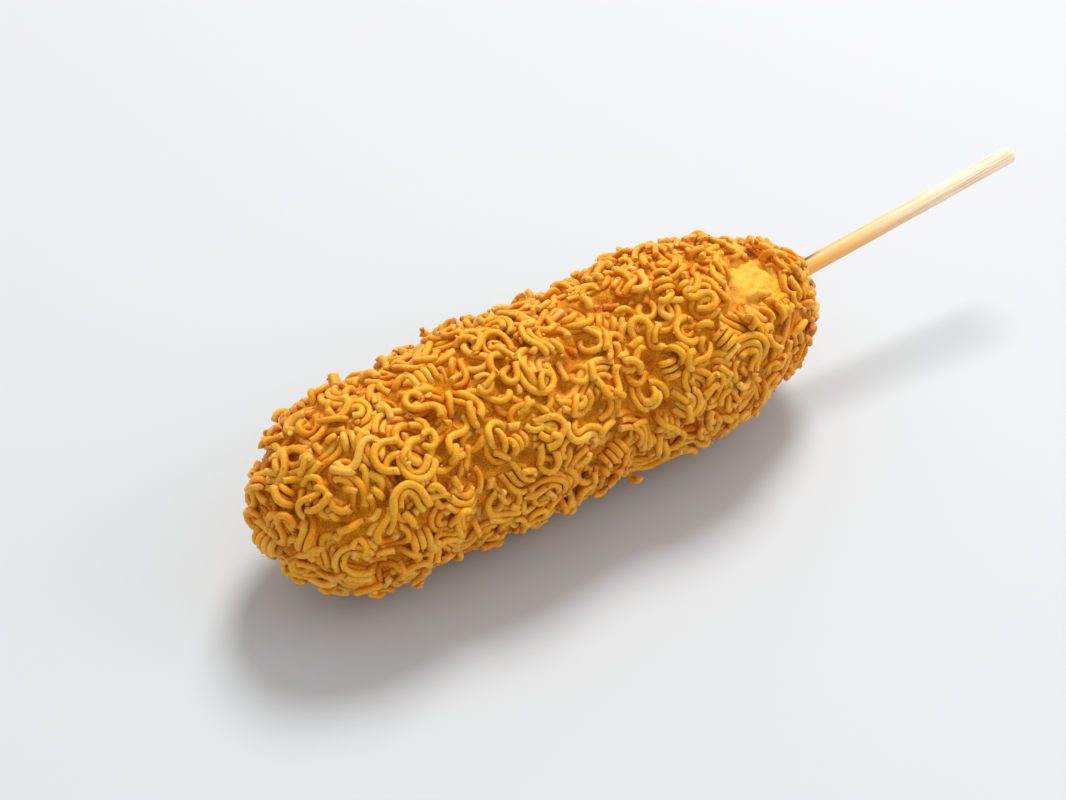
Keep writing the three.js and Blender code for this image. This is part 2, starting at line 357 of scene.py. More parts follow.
class Coat:
    """The strands laid on the batter so far, as a chain of balls that later strands lie on."""

    TRIES = 7  # turns that a bundle is tried at
    REACH = 13 * MM  # balls further than this from a bundle's middle are passed over
    TOUCH = 0.72  # strands press into each other to this share of their thickness
    BEDDED = 0.30  # height of a strand's middle over bare batter, as a share of its radius
    CLEAR = -1.0  # height given where a strand has nothing under it
    SPANS = 5  # times that a strand's points are raised towards their neighbours
    SWAY_SIZE = 5.5 * MM  # size of the bends that make a strand uneven
    ROLL_SIZES = (0.86, 1.06)  # least and most size of each arch in a roll
    LOOSE = 0.6  # share of a bundle's own rise that doesn't count against a turn
    FORCED = 0.3 * MM  # the most that the floor may push a strand up
    SHAG = 1.4 * MM  # the highest strands differ by this much
    WILD = 0.20  # share of the strands that may stick out further
    WILD_RISE = 1.4 * MM  # by this much
    BROKEN = 0.16  # most that a strand in a bundle lacks at either end
    RESTING = 0.2  # squared share of the resting spot's length and width that is kept bare
    BARE = 0.58  # share of the bare patch's reach that is kept bare

    def __init__(self, core, noodles):
        self.core = core
        self.radius = noodles.diameter / 2
        self.pitch = noodles.pitch
        self.bed = -core.size.batter_drop + self.BEDDED * self.radius
        self.balls = np.zeros((0, 4))
        self.strands = {}

    def lift(self, feet, outs):
        """Height at which each point of a strand clears the balls near it.

        A ball at height q and distance t from the way out holds a strand up to
        q + sqrt(d^2 - t^2), where d is the two radii together, pressed in."""
        gap = self.balls[:, :3] - feet.reshape(-1, 3).mean(axis=0)
        balls = self.balls[np.sum(gap * gap, axis=-1) < self.REACH**2]
        if not len(balls):
            return np.full(feet.shape[:-1], self.CLEAR)
        gap = balls[:, :3] - feet[..., None, :]
        height = np.sum(gap * outs[..., None, :], axis=-1)
        aside2 = np.sum(gap * gap, axis=-1) - height**2
        reach2 = ((self.radius + balls[:, 3]) * self.TOUCH) ** 2
        held = np.where(aside2 < reach2, height + np.sqrt(np.maximum(reach2 - aside2, 0)), self.CLEAR)
        return held.max(axis=-1)

    def bridge(self, heights):
        """A stiff strand spans its hollows: each height is raised towards its neighbours' mean."""
        heights = heights.copy()
        for _ in range(self.SPANS):
            mean = (heights[..., 2:] + heights[..., :-2]) / 2
            heights[..., 1:-1] = np.maximum(heights[..., 1:-1], mean)
        return heights

    def floor_limit(self, feet, outs):
        """Greatest height that keeps a strand on the floor or over it."""
        down = np.maximum(-outs[..., 2], 1e-6)
        limit = (feet[..., 2] - self.radius) / down
        return np.where(outs[..., 2] < -1e-3, limit, np.inf)

    def kept_bare(self, feet, outs):
        """True on the bare patch and on the flat spot that the body rests on."""
        size = self.core.size
        spot = (feet[..., 0] / size.rest_length) ** 2 + (feet[..., 1] / size.rest_width) ** 2
        return ((spot < self.RESTING) & (outs[..., 2] < 0)) | (self.core.patch_distance(feet) < self.BARE)

    def bundle(self, kind, i, number, tilt, count, rolled):
        """A bundle's strands for each try, as distances along it, aside of it and above its lowest.

        The strands share one tilted plane side by side, or stand behind each other as a roll."""
        plane = meander(
            np.full(len(number), between(kind.arc, draw(i, 31)) * MM),
            between(kind.wave, draw(number, 2)) * MM,
            between(kind.swing, draw(number, 3)),
            np.pi * between(kind.bend, draw(number, 4)),
            kind.samples,
        )
        x, y = plane[:, :, None]
        apart = ((np.arange(count) - (count - 1) / 2) * self.pitch)[None, :, None]
        if rolled:
            size = between(self.ROLL_SIZES, draw(i, 80 + np.arange(count)))[None, :, None]
            x, y, beside = x * size, y * size, apart
        else:
            run = np.gradient(plane, axis=-1)
            run = run / np.linalg.norm(run, axis=0)
            x, y, beside = x - apart * run[1][:, None], y + apart * run[0][:, None], 0
        aside = y * np.cos(tilt) - beside * np.sin(tilt)
        above = y * np.sin(tilt) + beside * np.cos(tilt)
        return x, aside, above - above.min(axis=(1, 2), keepdims=True)

    def lay(self, name, i, seat, out, count=1, rolled=False, turn=None, higher=0.0):
        """Tries a few turns of a bundle of strands at a seat and keeps the one that settles lowest.

        Each strand follows its plane, and is lifted where it would run through what is there. A
        bundle may be this much higher than its kind's cap, and isn't laid if none of its turns fits."""
        kind = KINDS[name]
        tries = 1 if turn is not None else self.TRIES
        number = FIRST["turns"] + i * self.TRIES + np.arange(tries)
        tilt = between(kind.tilt, draw(number, 6))[:, None, None]
        x, aside, above = self.bundle(kind, i, number, tilt, count, rolled)
        around = 2 * np.pi * draw(number, 1) if turn is None else np.array([turn])
        u, v = turned_axes(out[None], around)
        flat = seat + u[:, None, None] * x[..., None] + v[:, None, None] * aside[..., None]
        flat = flat + kind.sway * sway(flat, self.SWAY_SIZE, i)
        feet, outs = self.core.seat(flat)
        heights = self.bridge(np.maximum(self.bed + above, self.lift(feet, outs)))
        room = self.floor_limit(feet, outs)
        blocked = np.any((heights > room + self.FORCED) | self.kept_bare(feet, outs), axis=(1, 2))
        wild = self.WILD_RISE * (draw(i, 35) < self.WILD)
        over = heights.max(axis=(1, 2)) - (kind.cap - self.SHAG * draw(i, 34) ** 2 + wild + higher)
        score = heights.max(axis=(1, 2)) + heights.mean(axis=(1, 2)) - self.LOOSE * above.mean(axis=(1, 2))
        score = np.where(blocked | (over > kind.sink), np.inf, score)
        best = int(np.argmin(score))
        if not np.isfinite(score[best]):
            return
        height = heights[best] - np.clip(over[best], 0, kind.sink)
        lines = feet[best] + outs[best] * np.minimum(height, room[best])[..., None]
        slant = tilt[best, 0, 0]
        normals = outs[best] * np.cos(slant) - v[best] * np.sin(slant)
        for k in range(count):
            tone = np.clip(draw(i, 33) + 0.3 * (draw(i, 40 + k) - 0.5), 0, 1)
            line, normal = self.trimmed(lines[k], normals[k], i, k, self.BROKEN if count > 1 else 0)
            self.add(name, line, normal, between((0.88, 1.08), draw(i, 50 + k)), tone)

    def trimmed(self, line, normal, i, k, share):
        """A strand of a bundle broken off short at both ends, with as many points as before."""
        last = len(line) - 1
        at = np.linspace(share * draw(i, 60 + k), 1 - share * draw(i, 70 + k), len(line)) * last
        low = np.minimum(at.astype(int), last - 1)
        part = (at - low)[:, None]
        return (v[low] * (1 - part) + v[low + 1] * part for v in (line, normal))

    def add(self, kind, path, flat, thick, tone):
        """Keeps a strand: its path, the way out of its plane, its thickness and its tone."""
        self.strands.setdefault(kind, []).append((path, flat, thick, tone))
        balls = np.concatenate([path, np.full((len(path), 1), self.radius * thick)], axis=-1)
        self.balls = np.concatenate([self.balls, balls])


def lay_bundles(coat, noodles):
    """The solid's bundles, strand by strand: the seats, turns, waves and heights fused there.

    They are pressed deeper into the batter than the solid's, and one that would lie buried in
    what is there is left out."""
    wave = (24, 30, 38)  # length of strand in a full wave, for one, two and three strands
    facet = (3.0, 3.6, 4.2)  # length of a straight facet of the solid's, for the same
    samples = 24
    pressed = 1.3 * MM
    highest = 3 * MM
    buried, buried_share = 1.2 * MM, 0.15
    count = noodles.bundles
    for i in range(count):
        x = coat.core.half * ((2 * i + 1) / count - 1)
        seat, out = coat.core.place(x, i * GOLDEN_ANGLE)
        u, v = turned_axes(out, 2 * np.pi * draw(i, 1))
        strands = 1 + int(3 * draw(i, 2))
        arc = wave[strands - 1] * between((0.45, 0.75), draw(i, 3))
        steps = round(arc / facet[strands - 1])
        middle = ((steps + 1) // 2 / steps - 0.5) * arc * MM
        swing = between((1.2, 1.6), draw(i, 4))
        path = meander(
            arc * MM, wave[strands - 1] * MM, swing, 2 * np.pi * draw(i, 5), samples, middle
        )
        flat = seat + u * path[0][:, None] + v * path[1][:, None]
        across = unit(np.cross(out, np.gradient(flat, axis=0)))
        rise = between((0.5, 1.2), draw(i, 6)) * MM - pressed + between((-0.15, 0.15), draw(i, 7)) * path[0]
        for k in range(strands):
            offset = (k + 0.5 - strands / 2) * noodles.pitch
            line = flat + across * offset
            line = line + 0.3 * MM * sway(line, 6 * MM, i + 3 * k)
            feet, outs = coat.core.seat(line)
            if np.any(coat.kept_bare(feet, outs)):
                continue
            wobble = 0.45 * MM * noise(feet, 6 * MM, seed=31 * k)
            high = np.minimum(np.clip(rise + wobble, coat.bed, highest), coat.floor_limit(feet, outs))
            if k == 0 and np.mean(coat.lift(feet, outs) > high + buried) > buried_share:
                break
            line, normal = coat.trimmed(feet + outs * high[:, None], outs, i, k, 0.18)
            coat.add("bundles", line, normal, 0.92 + 0.14 * draw(i, 10 + k), draw(i, 20 + k))


# Bundles with a place of their own: kind, X in millimetres, degrees round the body with 90 on
# top, degrees of turn in the surface, and strands side by side.
STANDOUTS = (
    ("rolls", -65, 96, 120, 5),
    ("rolls", -58, 76, 110, 4),
    ("loops", -50, 98, 115, 3),
    ("loops", -41, 112, 32, 2),
    ("loops", 44, 118, 111, 3),
    ("loops", 54, 146, 78, 2),
    ("loops", 36, 141, 291, 1),
    ("loops", -27, 107, 40, 1),
    ("loops", -16, 123, 212, 1),
    ("loops", -81, 130, 160, 1),
    ("rolls", 21, 123, 60, 2),
    ("rolls", 35, 102, 100, 4),
    ("rolls", 28, 138, 70, 3),
    ("curls", 12, 150, 212, 2),
    ("curls", -13, 91, 300, 1),
)
# Bits that stand up on the other strands, as X in millimetres, degrees round the body and degrees of
# turn, and higher arches, the first one beside the stick.
TALL = [
    ("hooks", *place, 1)
    for place in (
        (66, 96, 60),
        (70, 218, 10),
        (52, 224, 80),
        (31, 216, 30),
        (12, 222, 120),
        (-8, 215, 60),
        (-29, 225, 20),
        (-52, 218, 100),
        (-71, 60, 40),
        (-50, 44, 110),
        (-22, 38, 20),
        (6, 46, 70),
        (34, 40, 10),
    )
]
ARCHES = (("arches", 71.5, 118, 28, 1), ("arches", 60, 143, 80, 1), ("arches", -71, 104, 150, 1))
TALL_RISE = 1.2 * MM
ARCHES_RISE = 2 * MM

ROLL_SHARE = 0.36  # of the wide strands, which are rolls or loops
WIDE_MORE = {"rolls": (1, 4.6), "loops": (0, 2.5)}  # limits of how many strands lie beside the first
CURL_SHARE = 0.7  # of the other strands, which are curls or waves
MORE = {"curls": (0.30, 0.08), "waves": (0.55, 0.35, 0.12)}  # chances of each further strand
SPARSE_SIZE, SPARSE_OVER = 9 * MM, 0.30  # size of the sparse places, and the noise that makes them
SPARSE_SKIPS = 0.75  # share of the strands that is left out there


def lay_standouts(coat, standouts, higher=0.0):
    """Lays each of a list, allowed to stand this much higher than others of its kind."""
    for i, (kind, x, around, turn, count) in enumerate(standouts):
        seat, out = coat.core.place(np.array(x * MM), np.array(math.radians(around)))
        coat.lay(kind, FIRST["standouts"] + i, seat, out, count, kind == "rolls", math.radians(turn), higher)


def spiral_seats(core, count, turn):
    """Evenly spread seats, a golden angle apart, in a shuffled order that is always the same."""
    order = np.random.default_rng(count).permutation(count)
    x = core.half * ((2 * order + 1) / count - 1)
    return core.place(x, order * GOLDEN_ANGLE + turn)


def lay_curls(coat, noodles):
    """Rolls of standing arches and wide loops, then curls and waves, fewer where the batter shows."""
    seats, outs = spiral_seats(coat.core, noodles.rolls, 3.0)
    for i in range(noodles.rolls):
        name = "rolls" if draw(i, 27) < ROLL_SHARE else "loops"
        count = 1 + int(between(WIDE_MORE[name], draw(i, 29)))
        coat.lay(name, FIRST["wide"] + i, seats[i], outs[i], count, name == "rolls")
    seats, outs = spiral_seats(coat.core, noodles.strands, 1.0)
    sparse = noise(seats, SPARSE_SIZE, seed=40) > SPARSE_OVER
    for i in range(noodles.strands):
        if sparse[i] and draw(i, 26) < SPARSE_SKIPS:
            continue
        name = "curls" if draw(i, 30) < CURL_SHARE else "waves"
        coat.lay(name, i, seats[i], outs[i], 1 + sum(draw(i, 28) < chance for chance in MORE[name]))


def lay_bits(coat, noodles):
    """Short strands: hooks that stand up, then stubs where they still fit."""
    for name, count, turn in (("hooks", noodles.hooks, 4.0), ("stubs", noodles.stubs, 2.0)):
        seats, outs = spiral_seats(coat.core, count, turn)
        for i in range(count):
            coat.lay(name, FIRST[name] + i, seats[i], outs[i])


# --- Meshes -----------------------------------------------------------------


def mesh_object(name, points, faces, values=None):
    """A smooth mesh from arrays: points, a list of face arrays, and named numbers for each point."""
    mesh = bpy.data.meshes.new(name)
    loops = np.concatenate([f.ravel() for f in faces]).astype(np.int32)
    sizes = np.concatenate([np.full(len(f), f.shape[1], np.int32) for f in faces])
    mesh.vertices.add(len(points))
    mesh.vertices.foreach_set("co", points.astype(np.float32).ravel())
    mesh.loops.add(len(loops))
    mesh.loops.foreach_set("vertex_index", loops)
    mesh.polygons.add(len(sizes))
    mesh.polygons.foreach_set("loop_start", np.concatenate([[0], np.cumsum(sizes)[:-1]]).astype(np.int32))
    for key, numbers in (values or {}).items():
        layer = mesh.attributes.new(key, "FLOAT", "POINT")
        layer.data.foreach_set("value", numbers.astype(np.float32).ravel())
    mesh.update(calc_edges=True)
    mesh.shade_smooth()
    if mesh.validate():
        raise RuntimeError(f"{name} had faults in its mesh")
    piece = bpy.data.objects.new(name, mesh)
    bpy.context.scene.collection.objects.link(piece)
    return piece


def sleeve_faces(rings, sides):
    """Quads between closed rings of points, wound so that they face away from the path."""
    ring = sides * np.arange(rings - 1)[:, None]
    side = np.arange(sides)
    after = (side + 1) % sides
    quads = np.stack([ring + side, ring + after, ring + sides + after, ring + sides + side], axis=-1)
    return quads.reshape(-1, 4)


def closed_sleeve(rings, sides):
    """Faces of a sleeve and of its two ends, whose middles are the two points after its rings."""
    k = np.arange(sides)
    after = (k + 1) % sides
    last = (rings - 1) * sides
    middle = np.full(sides, rings * sides)
    first_fan = np.stack([middle, after, k], axis=-1)
    last_fan = np.stack([middle + 1, last + k, last + after], axis=-1)
    return [sleeve_faces(rings, sides), first_fan, last_fan]


# A broken end, as distances along the strand and radii, both in radii of the strand.
END_AT = (-0.12, -0.05)
END_WIDE = (0.62, 0.90)
ASLANT = 1.1  # broken ends slope by up to half of this, to either side
TIP = 0.7  # how far an end's paler colour reaches, in radii of the strand
FLATTER = 0.16  # the most that a strand is flattened
LUMPS, LUMP_SIZE = 0.12, 2.8 * MM  # shares of the radius, and sizes
BUMPS, BUMP_SIZE = 0.08, 1.4 * MM


def tubes(strands, radius, sides):
    """Rounded strands with blunt broken ends, all with the same number of points.

    Ring j, side k is path_j + r_j (across_j cos a_k + up_j sin a_k), with a_k going once round,
    across = normal x ahead and up = ahead x across. Each end has shrinking rings and a middle,
    and leans by a slope times the distance across it, as if broken aslant."""
    path, normal = (np.stack([strand[part] for strand in strands]) for part in (0, 1))
    thick, tone = (np.array([strand[part] for strand in strands]) for part in (2, 3))
    count = len(path)
    caps = len(END_AT)

    def capped(values):
        first = np.repeat(values[:, :1], caps, axis=1)
        last = np.repeat(values[:, -1:], caps, axis=1)
        return np.concatenate([first, values, last], axis=1)

    ahead = capped(unit(np.gradient(path, axis=1)))
    line = capped(path)
    rings = line.shape[1]
    shift, wide = np.zeros(rings), np.ones(rings)
    shift[:caps], wide[:caps] = END_AT, END_WIDE
    shift[-caps:], wide[-caps:] = -np.array(END_AT[::-1]), END_WIDE[::-1]
    line = line + ahead * (shift * radius)[None, :, None]
    across = unit(np.cross(capped(normal), ahead))
    up = np.cross(ahead, across)

    angle = 2 * np.pi * np.arange(sides) / sides
    slim = 1 - FLATTER * draw(np.arange(count), 81)[:, None, None, None]
    spoke = across[:, :, None] * np.cos(angle)[:, None] + slim * up[:, :, None] * np.sin(angle)[:, None]
    lumps = 1 + LUMPS * noise(line, LUMP_SIZE, seed=1)
    skin = line[:, :, None] + (radius * thick[:, None] * wide * lumps)[:, :, None, None] * spoke
    skin += spoke * (BUMPS * radius * noise(skin, BUMP_SIZE, seed=2))[..., None]
    lean = ASLANT * (np.stack([draw(np.arange(count), 82), draw(np.arange(count), 83)]) - 0.5)
    near_end = np.zeros((rings, 2))
    near_end[: caps + 1, 0], near_end[-caps - 1 :, 1] = 1, 1
    slope = np.einsum("ec,re->cr", lean, near_end)
    skin += ahead[:, :, None] * (slope * radius * wide)[:, :, None, None] * np.cos(angle)[:, None]

    ends = np.stack([line[:, 0], line[:, -1]], axis=1)
    total = count * rings * sides
    points = np.concatenate([skin.reshape(-1, 3), ends.reshape(-1, 3)])
    starts = (np.arange(count) * rings * sides)[:, None]
    quads = (sleeve_faces(rings, sides)[None] + starts[:, :, None]).reshape(-1, 4)
    k = np.arange(sides)
    here, after = starts + k, starts + (k + 1) % sides
    last = (rings - 1) * sides
    middle = np.broadcast_to(total + 2 * np.arange(count)[:, None], here.shape)
    first_fans = np.stack([middle, after, here], axis=-1)
    last_fans = np.stack([middle + 1, here + last, after + last], axis=-1)
    fans = np.concatenate([first_fans, last_fans]).reshape(-1, 3)

    run = np.cumsum(np.linalg.norm(np.diff(line, axis=1, prepend=line[:, :1]), axis=-1), axis=1)
    tip = np.exp(-((np.minimum(run, run[:, -1:] - run) / (TIP * radius)) ** 2))
    return points, [quads, fans], line, {"tip": tip, "tone": np.broadcast_to(tone[:, None], tip.shape)}


def spread(values, sides):
    """Values of each ring given to all its points, and the end ones to the ends' middles."""
    body = np.repeat(values.reshape(-1), sides)
    ends = np.stack([values[:, 0], values[:, -1]], axis=1)
    return np.concatenate([body, ends.reshape(-1)])


def strand_piece(name, coat, kind, sides):
    """One mesh for all strands of a kind, with how high, how pale and how near an end each point is."""
    points, faces, line, values = tubes(coat.strands[kind], coat.radius, sides)
    feet, outs = coat.core.seat(line)
    height = np.sum((line - feet) * outs, axis=-1)
    values["height"] = (height + coat.core.size.batter_drop) / (4 * MM)
    return mesh_object(name, points, faces, {k: spread(v, sides) for k, v in values.items()})


def smeared(grid, times):
    """A closed grid, blurred a few times by the 1 2 1 rule along it and round it."""
    for _ in range(times):
        grid = grid.copy()
        grid[1:-1] = (grid[:-2] + 2 * grid[1:-1] + grid[2:]) / 4
        grid = (np.roll(grid, 1, axis=1) + 2 * grid + np.roll(grid, -1, axis=1)) / 4
    return grid


def fillets(core, coat, x, feet, outs):
    """How high the batter climbs on the strands: their height less the distance beside them.

    Only strands near by and low enough to touch the batter are climbed, up to the highest climb."""
    low = -core.size.batter_drop
    climb = np.full(feet.shape[:-1], low)
    reach, touching, highest = 3.0 * MM, 0.5 * MM, 0.1 * MM
    lowered, flat = 0.20, 0.6  # shares of a strand's radius: below its middle, and level beside it
    for ring in range(len(x)):
        near = coat.balls[np.abs(coat.balls[:, 0] - x[ring]) < reach + 1 * MM]
        if not len(near):
            continue
        gap = near[:, :3] - feet[ring][:, None]
        up = np.sum(gap * outs[ring][:, None], axis=-1)
        aside = np.sqrt(np.maximum(np.sum(gap * gap, axis=-1) - up**2, 0))
        high = up - lowered * near[:, 3] - np.maximum(0, aside - flat * near[:, 3])
        high = np.where((aside < reach) & (up < touching), high, low)
        climb[ring] = np.maximum(high.max(axis=-1), low)
    return np.minimum(climb, highest)


# Relief of the batter and of its bare patch: amount, size in millimetres and seed of each noise. The
# batter's amounts are millimetres, the patch's are shares of its rise.
BATTER_LUMPS = ((0.30, 7, 11), (0.22, 2.4, 12), (0.18, 0.9, 13))
PATCH_KNOBS = ((0.26, 3.1, 14), (0.30, 1.5, 16), (0.14, 0.8, 17))
PATCH_SWELLING = 0.78


def batter_mesh(core, coat, rings, sides):
    """The batter, as a sleeve of rings round the body's axis with a point at either tip.

    Its height over the solid's surface is the batter's drop, lumps of three sizes, fillets up to
    the strands, the swelling of the bare patch and the flat spot on the floor."""
    size = core.size
    x = -core.half * np.cos(np.pi * (np.arange(rings) + 0.5) / rings)
    run = np.cumsum(np.concatenate([[0], np.hypot(np.diff(x), np.diff(core.radius_at(x)))]))
    x = np.interp(np.linspace(0, run[-1], rings), run, x)
    feet, outs = core.place(x[:, None], 2 * np.pi * np.arange(sides)[None, :] / sides)
    drop = -size.batter_drop
    climbed = smeared(fillets(core, coat, x, feet, outs), 2) - drop
    bare = 1 - smooth_step(0.35, 1.25, core.patch_distance(feet))
    swelling = layered(feet, PATCH_KNOBS, PATCH_SWELLING) * core.batter.patch_rise * bare
    height = drop + layered(feet, BATTER_LUMPS) * MM + np.maximum(climbed, swelling)
    rest = np.hypot(feet[..., 0] / (size.rest_length / 2), feet[..., 1] / (size.rest_width / 2))
    flat = (1 - smooth_step(0.75, 1.15, rest)) * (outs[..., 2] < 0)
    points = feet + outs * height[..., None]
    points[..., 2] = np.maximum(points[..., 2] * (1 - flat), 0)
    tips = np.array([[-core.half - drop, 0, size.axis_height], [core.half + drop, 0, size.axis_height]])
    values = {"raised": climbed / MM, "bare": bare}
    values = {key: np.concatenate([grid.ravel(), [0, 0]]) for key, grid in values.items()}
    everything = np.concatenate([points.reshape(-1, 3), tips])
    return mesh_object("batter_body", everything, closed_sleeve(rings, sides), values)


CRUMB_SIZES = (0.22, 1.0)  # least and most, in millimetres
BURNT_SHARE = 0.012


def grain_mesh(core, coat, count):
    """Crumbs: small lumpy balls, each of two poles and two rings of six, pressed on what is there.

    A crumb's point is its middle plus its size times a unit ball's point, stretched to three sides
    and pushed about by repeatable draws."""
    number = np.arange(count)
    x = core.half * (2 * (number + 0.5) / count - 1)
    feet, outs = core.place(x, number * GOLDEN_ANGLE * 1.37 + 0.5)
    rest = np.array([coat.lift(feet[i : i + 1], outs[i : i + 1])[0] for i in number])
    size = between(CRUMB_SIZES, draw(number, 91) ** 3) * MM
    height = np.maximum(rest - 0.75 * coat.radius, -core.size.batter_drop + 0.3 * MM) + 0.4 * size
    height = np.minimum(height, coat.floor_limit(feet, outs) + coat.radius - size)
    middle = feet + outs * height[:, None]
    sides = 6
    corners = 2 + 2 * sides
    lon = 2 * np.pi * np.arange(sides) / sides
    rings = [(lat, turn) for lat in np.radians([-25, 30]) for turn in lon + lat]
    ring = [(np.cos(a) * np.cos(b), np.cos(a) * np.sin(b), np.sin(a)) for a, b in rings]
    ball = np.array([(0, 0, -1), *ring, (0, 0, 1)])
    jitter = 0.75 + 0.5 * draw(number[:, None, None], 100 + 3 * np.arange(corners)[None, :, None])
    stretch = 0.65 + 0.8 * draw(number[:, None], 96 + np.arange(3))
    points = middle[:, None] + size[:, None, None] * ball * jitter * stretch[:, None]
    k = np.arange(sides)
    low, low_next = 1 + k, 1 + (k + 1) % sides
    high, high_next = low + sides, low_next + sides
    bottom = np.stack([0 * k, low_next, low], axis=-1)
    top = np.stack([0 * k + corners - 1, high, high_next], axis=-1)
    quads = np.stack([low, low_next, high_next, high], axis=-1)
    shift = corners * number[:, None, None]
    faces = [(np.concatenate([bottom, top]) + shift).reshape(-1, 3), (quads + shift).reshape(-1, 4)]
    values = {"tone": draw(number, 92), "burnt": draw(number, 93) < BURNT_SHARE}
    values = {key: np.repeat(numbers, corners) for key, numbers in values.items()}
    return mesh_object("crumbs", points.reshape(-1, 3), faces, values)


# --- Materials --------------------------------------------------------------


class Nodes:
    """A short way to write a node tree: add makes a node with its inputs set or linked.

    An input goes by its name, with _ for a space, or by its number after a _."""

    def __init__(self, tree):
        self.tree = tree

    def add(self, kind, settings=None, **inputs):
        node = self.tree.nodes.new(kind)
        for key, value in (settings or {}).items():
            setattr(node, key, value)
        for key, value in inputs.items():
            socket = node.inputs[int(key[1:])] if key[1:].isdigit() else node.inputs[key.replace("_", " ")]
            if isinstance(value, bpy.types.NodeSocket):
                self.tree.links.new(value, socket)
            else:
                socket.default_value = value
        return node


def new_material(name):
    """An empty material, and the way to write its nodes."""
    material = bpy.data.materials.new(name)
    material.use_nodes = True
    material.node_tree.nodes.clear()
    return material, Nodes(material.node_tree)


def rgba(colour_value):
    return (*colour_value, 1.0)


def mixed(n, share, first, second):
    """A colour between two others."""
    return n.add("ShaderNodeMix", {"data_type": "RGBA"}, _0=share, _6=first, _7=second).outputs[2]


def spanned(n, value, span, to=(0.0, 1.0)):
    """Value moved from one span to another, and held at its ends."""
    ends = {"From_Min": span[0], "From_Max": span[1], "To_Min": to[0], "To_Max": to[1]}
    return n.add("ShaderNodeMapRange", Value=value, **ends).outputs[0]


def calculated(n, operation, *values):
    """Result of an operation on numbers."""
    sockets = {f"_{k}": value for k, value in enumerate(values)}
    return n.add("ShaderNodeMath", {"operation": operation}, **sockets).outputs[0]


def vector(n, operation, *values):
    """Results of an operation on vectors: a vector and a number."""
    sockets = {f"_{k}": value for k, value in enumerate(values)}
    return n.add("ShaderNodeVectorMath", {"operation": operation}, **sockets).outputs


def clouds(n, place, scale, detail, roughness=0.5):
    """Soft noise from 0 to 1, finer with a larger scale."""
    look = {"Scale": scale, "Detail": detail, "Roughness": roughness}
    return n.add("ShaderNodeTexNoise", Vector=place, **look).outputs[0]


def point_value(n, name):
    """A number that the mesh holds for each point."""
    return n.add("ShaderNodeAttribute", {"attribute_name": name}).outputs["Fac"]


def fried_group():
    """What all the fried food shares: a toasted and a golden colour mixed by a share, by blotches and
    by painted shade, lighter where a point faces away from the body's core and darker on its sides, uneven
    gloss, and fine grains for a bump."""
    name = "fried_surface"
    if name in bpy.data.node_groups:
        return bpy.data.node_groups[name]
    tree = bpy.data.node_groups.new(name, "ShaderNodeTree")
    sockets = {
        "INPUT": {"Color": ("Toasted_and_shade", "Golden"), "Float": ("Share", "Grains", "Speckle")},
        "OUTPUT": {"Color": ("Color",), "Float": ("Roughness", "Height")},
    }
    for side, kinds in sockets.items():
        for kind, named in kinds.items():
            for socket in named:
                tree.interface.new_socket(socket, in_out=side, socket_type=f"NodeSocket{kind}")
    n = Nodes(tree)
    given = n.add("NodeGroupInput").outputs
    place = n.add("ShaderNodeTexCoord").outputs["Object"]
    size = bpy.context.scene.corn_dog_body
    half = size.body_length / 2 - size.coat
    ends = {"Min": size.nose_dome - half, "Max": half - size.stick_dome}
    ahead = n.add("ShaderNodeSeparateXYZ", Vector=place).outputs[0]
    inside = n.add("ShaderNodeClamp", Value=ahead, **ends).outputs[0]
    middle = n.add("ShaderNodeCombineXYZ", X=inside, Z=size.axis_height).outputs[0]
    out = vector(n, "NORMALIZE", vector(n, "SUBTRACT", place, middle)[0])[0]
    normal = n.add("ShaderNodeNewGeometry").outputs["Normal"]
    # Painted shade: the share is raised where the surface faces away from the core and lowered on sides that
    # face across or back, so tops come out lighter and sides darker.
    painted_crown_shade = spanned(n, vector(n, "DOT_PRODUCT", out, normal)["Value"], (0.05, 0.95), (-0.50, 0.12))
    blotches = clouds(n, place, 330.0, 4.0, 0.65)
    fine = clouds(n, place, given["Grains"], 3.0)
    share = calculated(n, "ADD", given["Share"], spanned(n, blotches, (0.3, 0.7), (-0.20, 0.20)))
    share = calculated(n, "ADD", share, painted_crown_shade)
    share = n.add("ShaderNodeClamp", Value=share).outputs[0]
    colour_here = mixed(n, share, given["Toasted_and_shade"], given["Golden"])
    shade = calculated(n, "MULTIPLY_ADD", calculated(n, "SUBTRACT", fine, 0.5), given["Speckle"], 1.0)
    shaded = n.add("ShaderNodeVectorMath", {"operation": "SCALE"}, _0=colour_here, Scale=shade).outputs[0]
    rough = spanned(n, blotches, (0.3, 0.7), (0.30, 0.50))
    n.add("NodeGroupOutput", Color=shaded, Roughness=rough, Height=fine)
    return tree


def fried_material(name, share, paint, low, high, grains, speckle, bump, gloss):
    """A material round the shared group, with its low and high colours.

    Share and paint are functions that add nodes: for the mix of the two, and over the result."""
    material, n = new_material(name)
    given = {"Share": share(n), "Grains": grains, "Speckle": speckle}
    group = n.add("ShaderNodeGroup", {"node_tree": fried_group()}, **given)
    group.inputs["Toasted_and_shade"].default_value = rgba(low)
    group.inputs["Golden"].default_value = rgba(high)
    raised = n.add("ShaderNodeBump", Strength=bump, Distance=0.25 * MM, Height=group.outputs["Height"])
    shader = n.add(
        "ShaderNodeBsdfPrincipled",
        Base_Color=paint(n, group.outputs["Color"]),
        Roughness=group.outputs["Roughness"],
        Normal=raised.outputs[0],
        Specular_IOR_Level=gloss,
        Specular_Tint=(1.0, 0.72, 0.22, 1.0),
        Subsurface_Weight=0.30,
        Subsurface_Radius=(1.0, 0.45, 0.10),
        Subsurface_Scale=1.2 * MM,
    )
    n.add("ShaderNodeOutputMaterial", Surface=shader.outputs[0])
    return material


